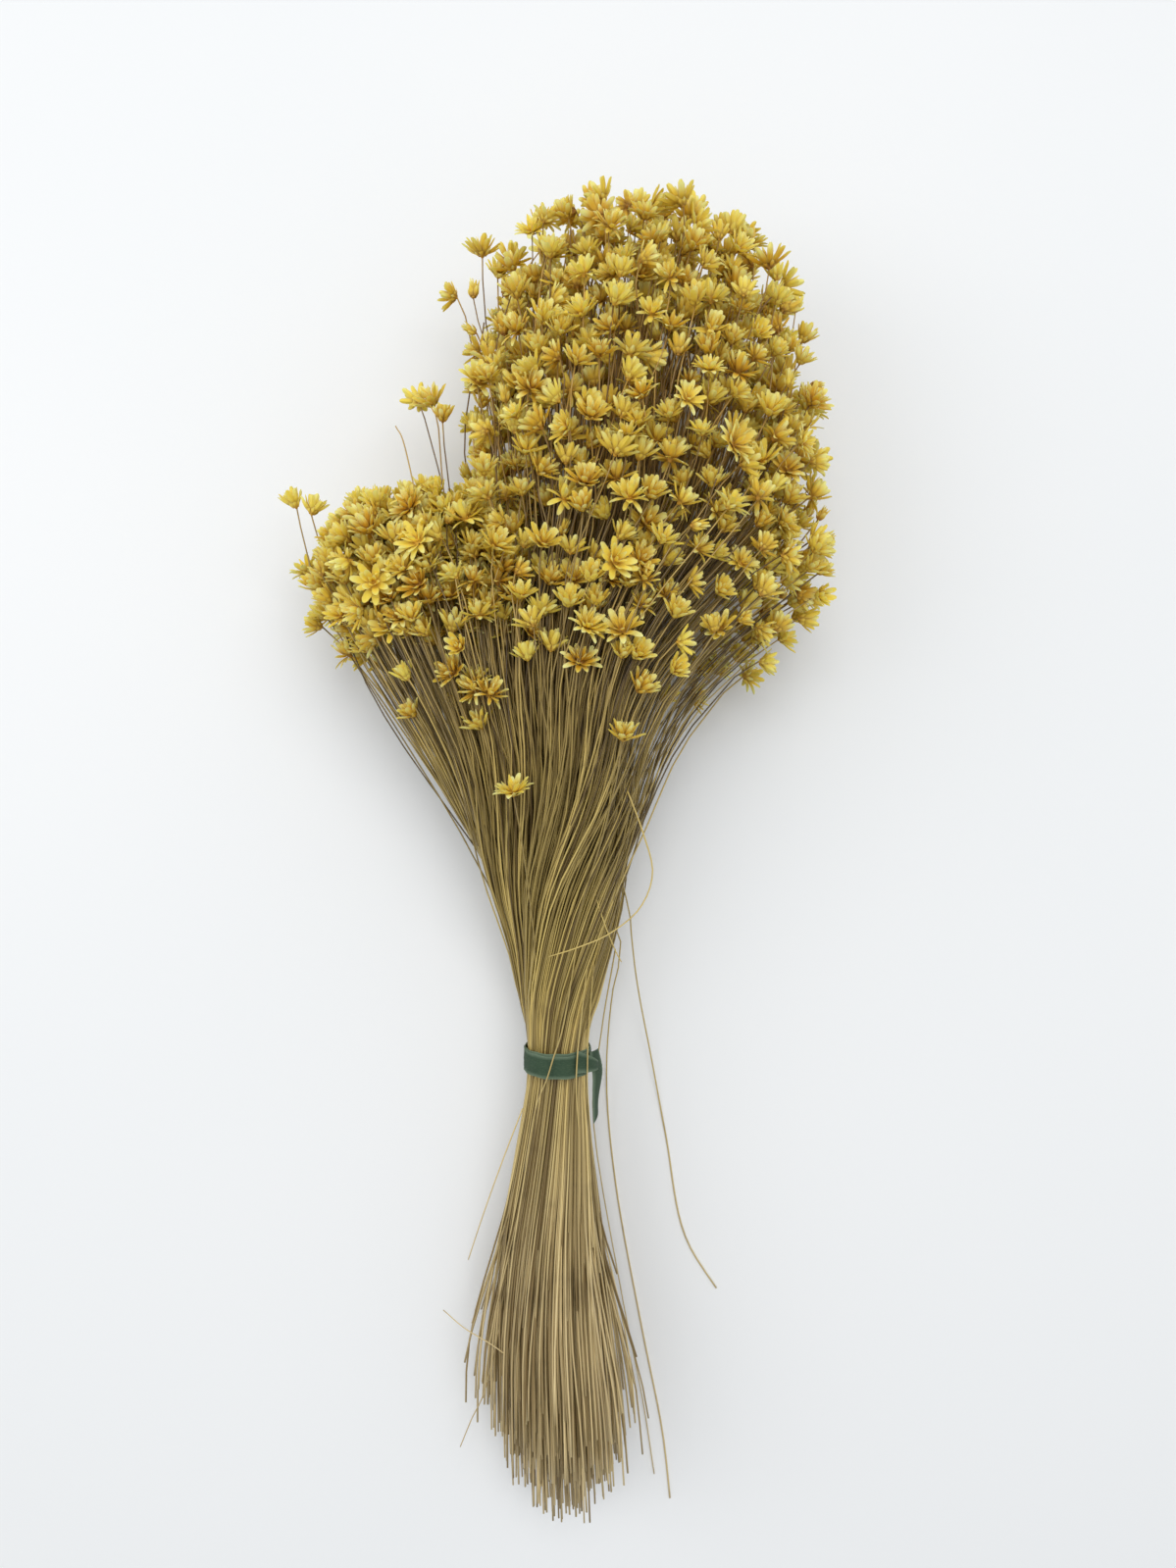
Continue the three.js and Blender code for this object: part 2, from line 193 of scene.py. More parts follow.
def in_sheaf(across, up, y):
    """Points of the sheaf at these places, in bundle steps, and heights along it. All three are arrays."""
    m = [np.interp(y, TABLE_Y, MAPS[:, k]) for k in range(6)]
    x = across * m[0] + up * m[2] + m[4]
    z = across * m[1] + up * m[3] + m[5]
    return np.stack([x, y + 0 * x, z], axis=-1)


BAND_LOW, BAND_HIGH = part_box("tie_band")
TIE = (BAND_LOW + BAND_HIGH) / 2
TAPE_WIDTH = BAND_HIGH.y - BAND_LOW.y
CUT_ENDS = np.array([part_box("stem_bundle_" + n)[0].y for n in NUMBERS])
FLOWERS_TO = np.array([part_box("flower_cluster_" + n)[1].y for n in NUMBERS])


# ---- Camera, table and light ----
VIEW_CENTRE = Vector((TIE.x + 12.6 * MM, TIE.y + 112 * MM, 40 * MM))
VIEW_LEAN = math.radians(3.5)
VIEW_DISTANCE = 468 * MM
LENS = 26.2  # millimetres, for a picture 36 high


def make_camera():
    """Looks down on the bunch, with the flowers at the top of the view."""
    data = bpy.data.cameras.new("camera")
    data.sensor_fit = "VERTICAL"
    data.sensor_height = 36
    data.lens = LENS
    data.clip_start = 0.01
    camera = bpy.data.objects.new("camera", data)
    bpy.context.scene.collection.objects.link(camera)
    camera.rotation_euler = (VIEW_LEAN, 0, 0)
    camera.location = VIEW_CENTRE + Vector((0, -math.sin(VIEW_LEAN), math.cos(VIEW_LEAN))) * VIEW_DISTANCE
    bpy.context.scene.camera = camera


make_camera()


class Socket:
    """A number in a material, so that shader maths reads as Python. Each operator adds its Math node."""

    def __init__(self, shader, socket):
        self.shader = shader
        self.socket = socket

    def _math(self, operation, *others):
        return self.shader.add("Math", dict(operation=operation), {i: v for i, v in enumerate(others)}, 0)

    def __add__(self, other):
        return self._math("ADD", self, other)

    __radd__ = __add__

    def __sub__(self, other):
        return self._math("SUBTRACT", self, other)

    def __rsub__(self, other):
        return self._math("SUBTRACT", other, self)

    def __mul__(self, other):
        return self._math("MULTIPLY", self, other)

    __rmul__ = __mul__

    def __truediv__(self, other):
        return self._math("DIVIDE", self, other)

    def __pow__(self, other):
        return self._math("POWER", self, other)

    def clamped(self):
        return self._math("MAXIMUM", self._math("MINIMUM", self, 1.0), 0.0)


class Shader:
    """A material of nodes round one Principled shader."""

    def __init__(self, name, **constants):
        self.material = bpy.data.materials.new(name)
        self.material.use_nodes = True
        self.tree = self.material.node_tree
        self.principled = self.tree.nodes["Principled BSDF"]
        for key, value in constants.items():
            self.principled.inputs[key.replace("_", " ")].default_value = value

    def add(self, kind, settings=None, inputs=None, output=0):
        """Adds a node, sets what it is and its sockets' values or links, and returns one of its outputs."""
        node = self.tree.nodes.new("ShaderNode" + kind)
        for key, value in (settings or {}).items():
            setattr(node, key, value)
        for key, value in (inputs or {}).items():
            if isinstance(value, Socket):
                self.tree.links.new(value.socket, node.inputs[key])
            else:
                node.inputs[key].default_value = value
        return Socket(self, node.outputs[output])

    def attribute(self, name):
        return self.add("Attribute", dict(attribute_name=name), output="Fac")

    def place(self):
        return self.add("TexCoord", output="Object")

    def noise(self, scale, detail=2.0, roughness=0.5, vector=None):
        sockets = {"Scale": scale, "Detail": detail, "Roughness": roughness}
        sockets["Vector"] = vector or self.place()
        return self.add("TexNoise", None, sockets, "Fac")

    def ramp(self, value, low, high):
        """0 below low and 1 above high, and smooth between them."""
        sockets = {"Value": value, "From Min": low, "From Max": high}
        return self.add("MapRange", dict(interpolation_type="SMOOTHSTEP"), sockets, "Result")

    def mix(self, factor, a, b, blend="MIX"):
        """One colour into another. A colour is three numbers or a socket."""
        colours = {6: a, 7: b}
        fixed = {k: v if isinstance(v, Socket) else (*v, 1) for k, v in colours.items()}
        return self.add("Mix", dict(data_type="RGBA", blend_type=blend), {0: factor, **fixed}, 2)

    def set(self, **links):
        for key, value in links.items():
            self.tree.links.new(value.socket, self.principled.inputs[key.replace("_", " ")])
        return self.material

    def bump(self, height, distance, strength=1.0):
        sockets = {"Height": height, "Distance": distance, "Strength": strength}
        return self.add("Bump", None, sockets, "Normal")


def srgb(r, g, b):
    """A colour given as 0 to 255, as the linear light that a shader takes."""
    return tuple((c / 255 / 12.92) if c < 10 else ((c / 255 + 0.055) / 1.055) ** 2.4 for c in (r, g, b))


def table_material():
    shader = Shader("pale_table", Roughness=0.6)
    cloud = shader.noise(2.5, 3.0)
    return shader.set(Base_Color=shader.mix(cloud, srgb(236, 239, 241), srgb(243, 244, 245)))


def deselect():
    bpy.ops.object.select_all(action="DESELECT")


def newest(name):
    """The object just added, under a name of its own."""
    piece = bpy.context.object
    piece.name = name
    piece.data.name = name
    return piece


def make_table():
    deselect()
    bpy.ops.mesh.primitive_plane_add(size=6)
    table = newest("table_top")
    table.data.materials.append(table_material())


def soft_light(name, place, size, power, aim):
    """A rectangular lamp that faces aim."""
    data = bpy.data.lights.new(name, "AREA")
    data.shape = "RECTANGLE"
    data.size, data.size_y = size
    data.energy = power
    data.color = (1.0, 0.985, 0.965)
    lamp = bpy.data.objects.new(name, data)
    bpy.context.scene.collection.objects.link(lamp)
    lamp.location = place
    lamp.rotation_euler = (Vector(aim) - Vector(place)).to_track_quat("-Z", "Y").to_euler()


def make_light():
    world = bpy.data.worlds.new("studio")
    bpy.context.scene.world = world
    world.use_nodes = True
    background = world.node_tree.nodes["Background"]
    background.inputs["Color"].default_value = (0.95, 0.975, 1.0, 1)
    background.inputs["Strength"].default_value = 0.57
    soft_light("ceiling_light", (0.25, 0.5, 1.5), (1.4, 1.0), 11.8, (0, 0.05, 0))
    soft_light("side_light", (-1.1, 0.2, 0.9), (0.8, 1.2), 4.8, (0, 0.1, 0.05))
    bpy.context.scene.view_settings.view_transform = "Standard"


make_table()
make_light()


# ---- Materials of the bunch ----
def bract_material():
    """Papery bracts: brown at the foot, ochre along the blade and lemon yellow at the tip."""
    shader = Shader(
        "papery_yellow_bracts",
        Roughness=0.62,
        Specular_IOR_Level=0.32,
        Subsurface_Weight=0.35,
        Subsurface_Radius=(1.0, 0.85, 0.3),
        Subsurface_Scale=0.0016,
    )
    along = shader.attribute("along")
    bract_tone = shader.attribute("bract_tone")
    head_tone = shader.attribute("head_tone")
    streak = shader.noise(420, 3.0, 0.6)
    body = shader.mix(head_tone, srgb(218, 166, 44), srgb(255, 229, 96))
    foot = shader.mix(head_tone, srgb(154, 106, 36), srgb(219, 173, 64))
    tip = shader.mix(bract_tone, srgb(242, 216, 84), srgb(252, 252, 160))
    low = shader.mix(shader.ramp(along + (streak - 0.5) * 0.2, 0.05, 0.45), foot, body)
    high = shader.ramp(along + (streak - 0.5) * 0.25 + (bract_tone - 0.5) * 0.35, 0.45, 1.05)
    colour = shader.mix(high, low, tip)
    shade = shader.mix((streak - 0.35).clamped() * 0.5, colour, srgb(190, 148, 44))
    grain = shader.noise(1500, 2.0)
    return shader.set(Base_Color=shade, Normal=shader.bump(grain, 0.00012, 0.35))


def stem_material():
    """Dry wiry stems: straw at the cut ends, gold at the tie, then olive brown, and a lighter ochre among
    the flower heads, which is painted light that lifts the shade between the heads.
    """
    shader = Shader("dried_stems", Roughness=0.38, Specular_IOR_Level=0.6)
    along = shader.attribute("along")
    tone = shader.attribute("stem_tone")
    patch = shader.noise(55, 3.0, 0.6)
    cut = shader.mix(tone, srgb(128, 105, 60), srgb(228, 206, 152))
    tied = shader.mix(tone, srgb(88, 68, 21), srgb(215, 190, 111))
    high = shader.mix(tone, srgb(68, 50, 24), srgb(194, 166, 92))
    colour = shader.mix(shader.ramp(along, 0.12, 0.42), cut, tied)
    # Painted light: the stems among the heads are made lighter so that the shade between the heads reads
    # less dark.
    painted_light_among_heads = shader.mix(tone, srgb(112, 82, 34), srgb(206, 168, 84))
    colour = shader.mix(shader.ramp(along, 0.45, 0.68), colour, high)
    colour = shader.mix(shader.ramp(along, 0.68, 0.84), colour, painted_light_among_heads)
    colour = shader.mix(shader.ramp(patch, 0.5, 0.8) * 0.45, colour, srgb(92, 70, 34))
    fine = shader.noise(1100, 2.0)
    return shader.set(Base_Color=colour, Normal=shader.bump(fine, 0.00008, 0.4))


def tape_material():
    """Matt green crepe tape, with fine creases across it and a slightly worn edge."""
    shader = Shader("green_tape", Roughness=0.78, Specular_IOR_Level=0.3)
    place = shader.place()
    stretched = shader.add("Mapping", None, {"Vector": place, "Scale": (1.0, 9.0, 1.0)}, "Vector")
    crepe = shader.noise(700, 3.0, 0.65, stretched)
    cloud = shader.noise(160, 3.0)
    colour = shader.mix(cloud, srgb(40, 62, 46), srgb(62, 84, 62))
    colour = shader.mix(shader.ramp(crepe, 0.45, 0.8) * 0.5, colour, srgb(96, 114, 88))
    edge = shader.attribute("edge")
    colour = shader.mix(edge * (0.35 + crepe * 0.5), colour, srgb(128, 146, 122))
    return shader.set(Base_Color=colour, Normal=shader.bump(crepe, 0.00025, 0.6))


BRACTS = bract_material()
STEMS = stem_material()
TAPE = tape_material()


# ---- Pieces of a flower head ----
def set_attribute(mesh, name, values):
    """Writes one number for each corner of a mesh, or one for them all."""
    layer = mesh.attributes.get(name) or mesh.attributes.new(name, "FLOAT", "POINT")
    layer.data.foreach_set("value", np.broadcast_to(values, len(mesh.vertices)).astype(np.float32))


def places_of(mesh):
    """The places of a mesh's corners, as an array."""
    found = np.empty(len(mesh.vertices) * 3, np.float32)
    mesh.vertices.foreach_get("co", found)
    return found.reshape(-1, 3)


HOLLOWED = 1.45  # how far a blade's inner face is moved to follow its outer one, in half widths
FOOT_DEPTH = 0.5  # how deep a blade is, as a share of its width


def make_bract(name, length, half_width, rows):
    """One hollowed blade, standing on its foot and leaning out along -Y.

    rows gives, from the foot up, the share of the length, the width, and the degrees that it bends out by.
    """
    deselect()
    bpy.ops.mesh.primitive_circle_add(vertices=4, radius=1, fill_type="NGON")
    blade = newest(name)
    bpy.ops.object.mode_set(mode="EDIT")
    shape = bmesh.from_edit_mesh(blade.data)
    for vert in shape.verts:
        vert.select = vert.co.y > 0.5
    shape.select_flush(True)
    bpy.ops.transform.translate(value=(0, -HOLLOWED, 0))
    bpy.ops.mesh.select_all(action="SELECT")
    share, width, bend = rows[0]
    foot = half_width * width
    bpy.ops.transform.resize(value=(foot, foot * FOOT_DEPTH, 1), center_override=(0, 0, 0))
    centre = Vector((0, 0, 0))
    angle = 0.0
    for next_share, next_width, bend in rows[1:]:
        angle += math.radians(bend)
        step = Vector((0, -math.sin(angle), math.cos(angle))) * length * (next_share - share)
        bpy.ops.mesh.extrude_region_move(TRANSFORM_OT_translate={"value": step})
        centre += step
        grow = next_width / width
        bpy.ops.transform.resize(value=(grow, grow, 1), center_override=centre)
        share, width = next_share, next_width
    bpy.ops.object.mode_set(mode="OBJECT")
    height = places_of(blade.data)[:, 2]
    set_attribute(blade.data, "along", height / height.max())
    set_attribute(blade.data, "bract_tone", 0.5)
    set_attribute(blade.data, "head_tone", 0.5)
    bpy.ops.object.shade_smooth_by_angle(angle=math.radians(50))
    return blade


CUP_FOOT = 0.5 * MM  # radius at the stem
CUP_TOP = 1.5 * MM  # radius where the bracts grow
CUP_HEIGHT = 2 * MM
CUP_RIM = 0.7 * MM
CUP_CROWN = 0.5 * MM


def make_receptacle():
    """The small hard cup at the foot of a head, which the bracts grow from."""
    deselect()
    bpy.ops.mesh.primitive_cone_add(
        vertices=8,
        radius1=CUP_FOOT,
        radius2=CUP_TOP,
        depth=CUP_HEIGHT,
        location=(0, 0, CUP_HEIGHT / 2),
    )
    cup = newest("receptacle")
    bpy.ops.object.transform_apply(location=True)
    bpy.ops.object.mode_set(mode="EDIT")
    shape = bmesh.from_edit_mesh(cup.data)
    for face in shape.faces:
        face.select = face.normal.z > 0.9
    bpy.ops.mesh.select_mode(type="FACE")
    bpy.ops.mesh.inset(thickness=CUP_RIM)
    bpy.ops.transform.translate(value=(0, 0, CUP_CROWN))
    bpy.ops.object.mode_set(mode="OBJECT")
    set_attribute(cup.data, "along", 0.05)
    set_attribute(cup.data, "bract_tone", 0.3)
    set_attribute(cup.data, "head_tone", 0.5)
    bpy.ops.object.shade_smooth_by_angle(angle=math.radians(60))
    return cup


# The blades' rows, from the foot up, as make_bract takes them.
CUPPED = [(0, 0.4, 0), (0.24, 0.82, 16), (0.56, 1.0, -8), (0.86, 0.84, -4), (1, 0.4, 12)]
SPREADING = [(0, 0.4, 0), (0.24, 0.8, 10), (0.56, 1.0, 10), (0.86, 0.82, 12), (1, 0.38, 14)]
SHORT = [(0, 0.6, 0), (0.5, 1.0, 6), (1, 0.25, -6)]
INNER = [(0, 0.5, 0), (0.55, 1.0, -2), (1, 0.25, 4)]

cupped = make_bract("cupped_bract", 7.2 * MM, 1.28 * MM, CUPPED)
spreading = make_bract("spreading_bract", 7.6 * MM, 1.2 * MM, SPREADING)
short = make_bract("short_bract", 3.2 * MM, 0.95 * MM, SHORT)
inner = make_bract("inner_bract", 5.4 * MM, 0.8 * MM, INNER)
receptacle = make_receptacle()
GOLDEN = math.radians(137.508)


def copy_of(piece, matrix, **tones):
    """A copy of a piece with a mesh of its own, carried by matrix."""
    copy = bpy.data.objects.new(piece.name, piece.data.copy())
    copy.data.transform(matrix)
    for name, value in tones.items():
        set_attribute(copy.data, name, value)
    bpy.context.scene.collection.objects.link(copy)
    return copy


def joined(name, pieces):
    """The pieces as one, under a new name."""
    deselect()
    for piece in pieces:
        piece.select_set(True)
    bpy.context.view_layer.objects.active = pieces[0]
    if len(pieces) > 1:
        bpy.ops.object.join()
    return newest(name)


def make_head(name, whorls, ragged):
    """A flower head standing on the origin.

    Each whorl is a bract, how many of them, the degrees that they lean out, how far from the axis and how
    high they start, in millimetres, and their size. ragged is the degrees by which they differ.
    """
    parts = [copy_of(receptacle, Matrix())]
    for count, (bract, number, lean, out, height, size) in enumerate(whorls):
        for i in range(number):
            turn = 2 * math.pi * (i + rng.uniform(-0.22, 0.22)) / number + count * GOLDEN
            tilt = math.radians(lean + rng.normal(0, ragged))
            twist = math.radians(rng.normal(0, ragged))
            scale = size * rng.uniform(0.86, 1.1)
            matrix = (
                Matrix.Rotation(turn, 4, "Z")
                @ Matrix.Translation((0, -out * MM, height * MM))
                @ Euler((tilt, 0, twist)).to_matrix().to_4x4()
                @ Matrix.Scale(scale, 4)
            )
            parts.append(copy_of(bract, matrix, bract_tone=rng.uniform(0, 1)))
    return joined(name, parts)


OPEN_CUP = [
    (short, 6, 38, 1.0, 0.6, 1.1),
    (cupped, 9, 50, 1.1, 1.5, 1.0),
    (cupped, 7, 33, 0.8, 2.0, 0.98),
    (inner, 5, 16, 0.5, 2.3, 1.1),
]
HALF_OPEN_CUP = [
    (short, 6, 30, 1.0, 0.6, 1.1),
    (cupped, 9, 36, 1.1, 1.5, 1.0),
    (cupped, 7, 22, 0.8, 2.0, 0.98),
    (inner, 5, 8, 0.45, 2.3, 1.1),
]
WIDE_STAR = [
    (short, 6, 50, 1.0, 0.6, 1.1),
    (spreading, 9, 52, 1.1, 1.4, 1.0),
    (cupped, 8, 44, 0.9, 1.9, 1.0),
    (inner, 6, 26, 0.6, 2.2, 1.1),
]
CLOSING_CUP = [
    (short, 6, 26, 1.0, 0.6, 1.1),
    (cupped, 8, 24, 1.1, 1.5, 0.95),
    (cupped, 6, 12, 0.8, 2.0, 0.95),
    (inner, 4, 3, 0.4, 2.3, 1.1),
]
RAGGED_STAR = [
    (spreading, 7, 84, 1.2, 1.2, 0.85),
    (cupped, 8, 46, 1.0, 1.6, 1.0),
    (cupped, 7, 28, 0.8, 2.0, 0.95),
    (inner, 5, 14, 0.5, 2.3, 1.1),
]
BUD = [
    (short, 6, 16, 1.0, 0.6, 1.2),
    (inner, 8, 8, 1.0, 1.3, 1.1),
    (inner, 4, -2, 0.5, 1.6, 1.1),
]
HEADS = [
    make_head("open_cup", OPEN_CUP, 7),
    make_head("half_open_cup", HALF_OPEN_CUP, 6),
    make_head("wide_star", WIDE_STAR, 8),
    make_head("closing_cup", CLOSING_CUP, 5),
    make_head("ragged_star", RAGGED_STAR, 11),
    make_head("bud", BUD, 3),
]
HEAD_SHARES = [0.28, 0.26, 0.16, 0.12, 0.12, 0.06]


# ---- Where each stem runs and where its head is ----
GRID_REACH = 4  # how far from the middle stems are looked for, in steps of one bundle
BUNDLE_REACH = 0.56  # how far from its middle a bundle's stems are
UNEVEN = 0.28  # how far a stem may be from its point of the grid, as a share of their spacing
FAR = 9.0  # metres, further than any real distance


def stem_places():
    """A place for each stem, in bundle steps, and the bundle that it belongs to."""
    found = []
    reach = int(GRID_REACH / STEM_SPACING)
    for row in range(-reach, reach + 1):
        for column in range(-reach, reach + 1):
            jitter = rng.uniform(-UNEVEN, UNEVEN, 2) * STEM_SPACING
            across = (column + 0.5 * (row % 2)) * STEM_SPACING + jitter[0]
            up = row * LAYER_STEP * STEM_SPACING + jitter[1]
            away = np.hypot(PLACES[:, 0] - across, PLACES[:, 1] - up)
            if away.min() < BUNDLE_REACH:
                found.append((across, up, int(away.argmin())))
    return found


def is_short(across, up):
    """Whether a place is on the short side of the bunch."""
    return across < SHORT_SIDE + SHORT_SIDE_SLANT * up


SHORT_BUNDLES = is_short(PLACES[:, 0], PLACES[:, 1])


def how_far_out(off):
    """How far points are from a dome's middle, given in its own reach: 1 on its surface."""
    return (abs(off) ** DOME_POWER).sum(1) ** (1 / DOME_POWER)


def place_of(points):
    """The places in the sheaf, in bundle steps, that points are at."""
    m = [np.interp(points[:, 1], TABLE_Y, MAPS[:, k]) for k in range(6)]
    x, z = points[:, 0] - m[4], points[:, 2] - m[5]
    size = m[0] * m[3] - m[1] * m[2]
    return np.stack([(m[3] * x - m[2] * z) / size, (m[0] * z - m[1] * x) / size], axis=1)


def smoothstep(t):
    """0 below 0 and 1 above 1, and smooth between them."""
    t = np.clip(t, 0, 1)
    return t * t * (3 - 2 * t)


POOL_SHARE = 24  # points drawn for each one that is wanted, since most fall outside the dome's shell


class Dome:
    """The rounded mass of flowers on one side of the bunch, as large as the box round its CAD clusters.

    In millimetres, inset is how far inside that box the foot of a head may be, below is how far under it the
    heads begin, and rounded is how much of its height is domed. slant is how much lower they begin towards
    its right, and hollow is the share of its reach, from the middle, with no heads.
    """

    def __init__(self, numbers, inset, below, slant, rounded, hollow):
        boxes = [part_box("flower_cluster_" + number) for number in numbers]
        low = np.min([box[0] for box in boxes], axis=0) + np.array(inset) * MM
        high = np.max([box[1] for box in boxes], axis=0) - np.array(inset) * MM
        low[1] -= below * MM
        self.low, self.high, self.slant, self.hollow = low, high, slant, hollow
        self.centre = (low + high) / 2
        self.reach = (high - low) / 2
        self.reach[1] = rounded * MM
        self.centre[1] = high[1] - self.reach[1]

    def candidates(self, count):
        """Points all over the dome near its surface, and a few below it."""
        start = self.low - np.array((0, LOW_HEADS_DROP + self.slant * self.reach[0], 0))
        points = rng.uniform(start, self.high, (count, 3))
        off = (points - self.centre) / self.reach / rng.uniform(*RAGGED_DOME, (count, 1))
        off[:, 1] = np.maximum(off[:, 1], 0)
        out = how_far_out(off)
        begins = self.low[1] - self.slant * (points[:, 0] - self.centre[0])
        thick = smoothstep((points[:, 1] - begins) / FADE) * (1 - LOW_HEADS) + LOW_HEADS
        thick *= np.where(points[:, 2] < self.centre[2], UNDERNEATH, 1)
        thick *= points[:, 1] > begins - LOW_HEADS_DROP
        across, up = place_of(points).T
        left, right, high = FAN_REACH
        in_fan = np.hypot(across / np.where(across < 0, left, right), up / high) < 1
        return points[in_fan & (out > self.hollow) & (out < 1) & (rng.random(count) < thick)]

    def scattered(self, count):
        """So many places for heads, none too close to the others."""
        pool = self.candidates(count * HEAD_SPACING_TRIES * POOL_SHARE)
        chosen = np.full((count, 3), FAR)
        for i in range(count):
            tries = pool[i * HEAD_SPACING_TRIES : (i + 1) * HEAD_SPACING_TRIES]
            room = [np.linalg.norm(chosen - p, axis=1).min() for p in tries]
            chosen[i] = tries[int(np.argmax(room))]
        return chosen


TALL_NUMBERS = [n for n, short in zip(NUMBERS, SHORT_BUNDLES) if not short]
SHORT_NUMBERS = [n for n, short in zip(NUMBERS, SHORT_BUNDLES) if short]
TALL_DOME = Dome(TALL_NUMBERS, inset=(9, 5, 6), below=38, slant=0.42, rounded=112, hollow=0.71)
SHORT_DOME = Dome(SHORT_NUMBERS, inset=(5, 10, 6), below=11, slant=-0.1, rounded=42, hollow=0.5)


def matched(stems, points):
    """The points in another order, so that each is near the stem of that number.

    Pairs of stems, taken at random, swap their points wherever that brings the pair nearer.
    """
    points = points.copy()
    wanted = place_of(points)
    half = len(stems) // 2
    for _ in range(MATCHING_ROUNDS):
        order = rng.permutation(len(stems))
        a, b = order[:half], order[half : 2 * half]
        now = ((stems[a] - wanted[a]) ** 2).sum(1) + ((stems[b] - wanted[b]) ** 2).sum(1)
        swapped = ((stems[a] - wanted[b]) ** 2).sum(1) + ((stems[b] - wanted[a]) ** 2).sum(1)
        a, b = a[swapped < now], b[swapped < now]
        points[a], points[b] = points[b].copy(), points[a].copy()
        wanted[a], wanted[b] = wanted[b].copy(), wanted[a].copy()
    return points


def plan_heads(places):
    """A place for the foot of each stem's head."""
    stems = np.array(places)[:, :2]
    short = is_short(stems[:, 0], stems[:, 1])
    heads = np.zeros((len(places), 3))
    for dome, side in ((SHORT_DOME, short), (TALL_DOME, ~short)):
        heads[side] = matched(stems[side], dome.scattered(int(side.sum())))
    return heads


def hold_in_tie(points):
    """Keeps stems inside the tape where they pass through it."""
    half_x = (BAND_HIGH.x - BAND_LOW.x) / 2 - TIE_CLEARANCE
    half_z = (BAND_HIGH.z - BAND_LOW.z) / 2 - TIE_CLEARANCE
    off = np.hypot((points[:, 0] - TIE.x) / half_x, (points[:, 2] - TIE.z) / half_z)
    near = 1 - smoothstep((abs(points[:, 1] - TIE.y) - HELD_LENGTH) / HELD_FADE)
    pull = 1 + (1 / np.maximum(off, 1) - 1) * near
    points[:, 0] = TIE.x + (points[:, 0] - TIE.x) * pull
    points[:, 2] = TIE.z + (points[:, 2] - TIE.z) * pull


def twisted(across, up, y):
    """A place turned round the middle of the sheaf, from its heads down to the tie, at each height in y."""
    turn = TWIST * (1 - smoothstep((y - TIE.y) / TWIST_UP))
    wide, high = SHEAF_REACH
    a, u = across / wide, up / high
    return (a * np.cos(turn) - u * np.sin(turn)) * wide, (a * np.sin(turn) + u * np.cos(turn)) * high


def draw_in(points):
    """Narrows the right side of the fan below its heads."""
    off = points[:, 0] - TIE.x
    bump = np.exp(-(((points[:, 1] - TIE.y - WAIST) / WAIST_LENGTH) ** 2))
    points[:, 0] -= off * WAIST_SHARE * bump * smoothstep(off / WAIST_INSIDE)


def stem_path(across, up, start, end, flare=1.0):
    """The points of one stem from its cut end to the height of its head."""
    y = np.linspace(start, end, max(LEAST_POINTS, int((end - start) / STEM_STEP)))
    above = smoothstep((y - TIE.y) / SWAY_LENGTH)
    below = smoothstep((TIE.y - y) / SWAY_LENGTH)
    sway = SWAY + rng.uniform(0.3, 1.7) * (SWAY_ABOVE * above + SWAY_BELOW * below)
    phase = rng.uniform(0, 2 * math.pi, 4)
    rate = rng.uniform(*SWAY_RATES, 2)
    side = np.sin(y * rate[0] + phase[0]) + RIPPLE * np.sin(y * rate[1] * RIPPLE_RATE + phase[1])
    rise = np.cos(y * rate[1] + phase[2]) + RIPPLE * np.cos(y * rate[0] * RIPPLE_RATE + phase[3])
    flared = smoothstep((TIE.y - FLARE_FROM - y) / FLARE_LENGTH)
    splay = 1 + rng.uniform(-0.3, 1) * flare * CUT_FLARE * flared
    across, up = twisted(across, up, y)
    points = in_sheaf(across * splay + side * sway, up * splay + rise * sway, y)
    hold_in_tie(points)
    draw_in(points)
    points[:, 2] = np.maximum(points[:, 2], ON_TABLE)
    return points


def head_direction(path, across, up):
    """Where a head faces: on along its stem, leaning out of the bunch."""
    wide, high = SHEAF_EDGE
    on = Vector(path[-1] - path[-3]).normalized()
    outward = Vector((across / wide, 0, up / high))
    stray = Vector(rng.normal(0, LEANS_ASTRAY, 3))
    return (on + outward * LEANS_OUT + stray).normalized()


# ---- Stems and heads as pieces ----
def make_stems(name, paths, thicknesses, tones):
    """Round stems along paths, as one piece."""
    curve = bpy.data.curves.new(name, "CURVE")
    curve.dimensions = "3D"
    curve.bevel_depth = STEM_RADIUS
    curve.bevel_resolution = (STEM_SIDES - 4) // 2
    curve.use_fill_caps = True
    for path, thickness in zip(paths, thicknesses):
        spline = curve.splines.new("POLY")
        spline.points.add(len(path) - 1)
        spline.points.foreach_set("co", np.column_stack([path, np.ones(len(path))]).ravel())
        taper = np.linspace(*TAPER, len(path)) * thickness
        spline.points.foreach_set("radius", taper)
    piece = bpy.data.objects.new(name, curve)
    bpy.context.scene.collection.objects.link(piece)
    deselect()
    piece.select_set(True)
    bpy.context.view_layer.objects.active = piece
    bpy.ops.object.convert(target="MESH")
    piece = newest(name)
    corners_each = [(len(path) + 2) * STEM_SIDES for path in paths]  # each cap has a ring of its own
    set_attribute(piece.data, "stem_tone", np.repeat(tones, corners_each))
    bpy.ops.object.mode_set(mode="EDIT")
    bpy.ops.mesh.select_all(action="SELECT")
    bpy.ops.mesh.remove_doubles(threshold=0.001 * MM)
    bpy.ops.object.mode_set(mode="OBJECT")
    height = places_of(piece.data)[:, 1]
    low, high = CUT_ENDS.min(), FLOWERS_TO.max()
    set_attribute(piece.data, "along", (height - low) / (high - low))
    set_attribute(piece.data, "bract_tone", 0.3)
    set_attribute(piece.data, "head_tone", 0.5)
    press_on_table(piece.data)
    piece.data.shade_smooth()
    piece.data.materials.append(STEMS)
    return piece


def finish_piece(piece, slot, *nodes):
    """Ties a piece to the body and hides the CAD nodes that it stands for; slot is not used."""
    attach(piece, "root")
    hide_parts(*nodes)


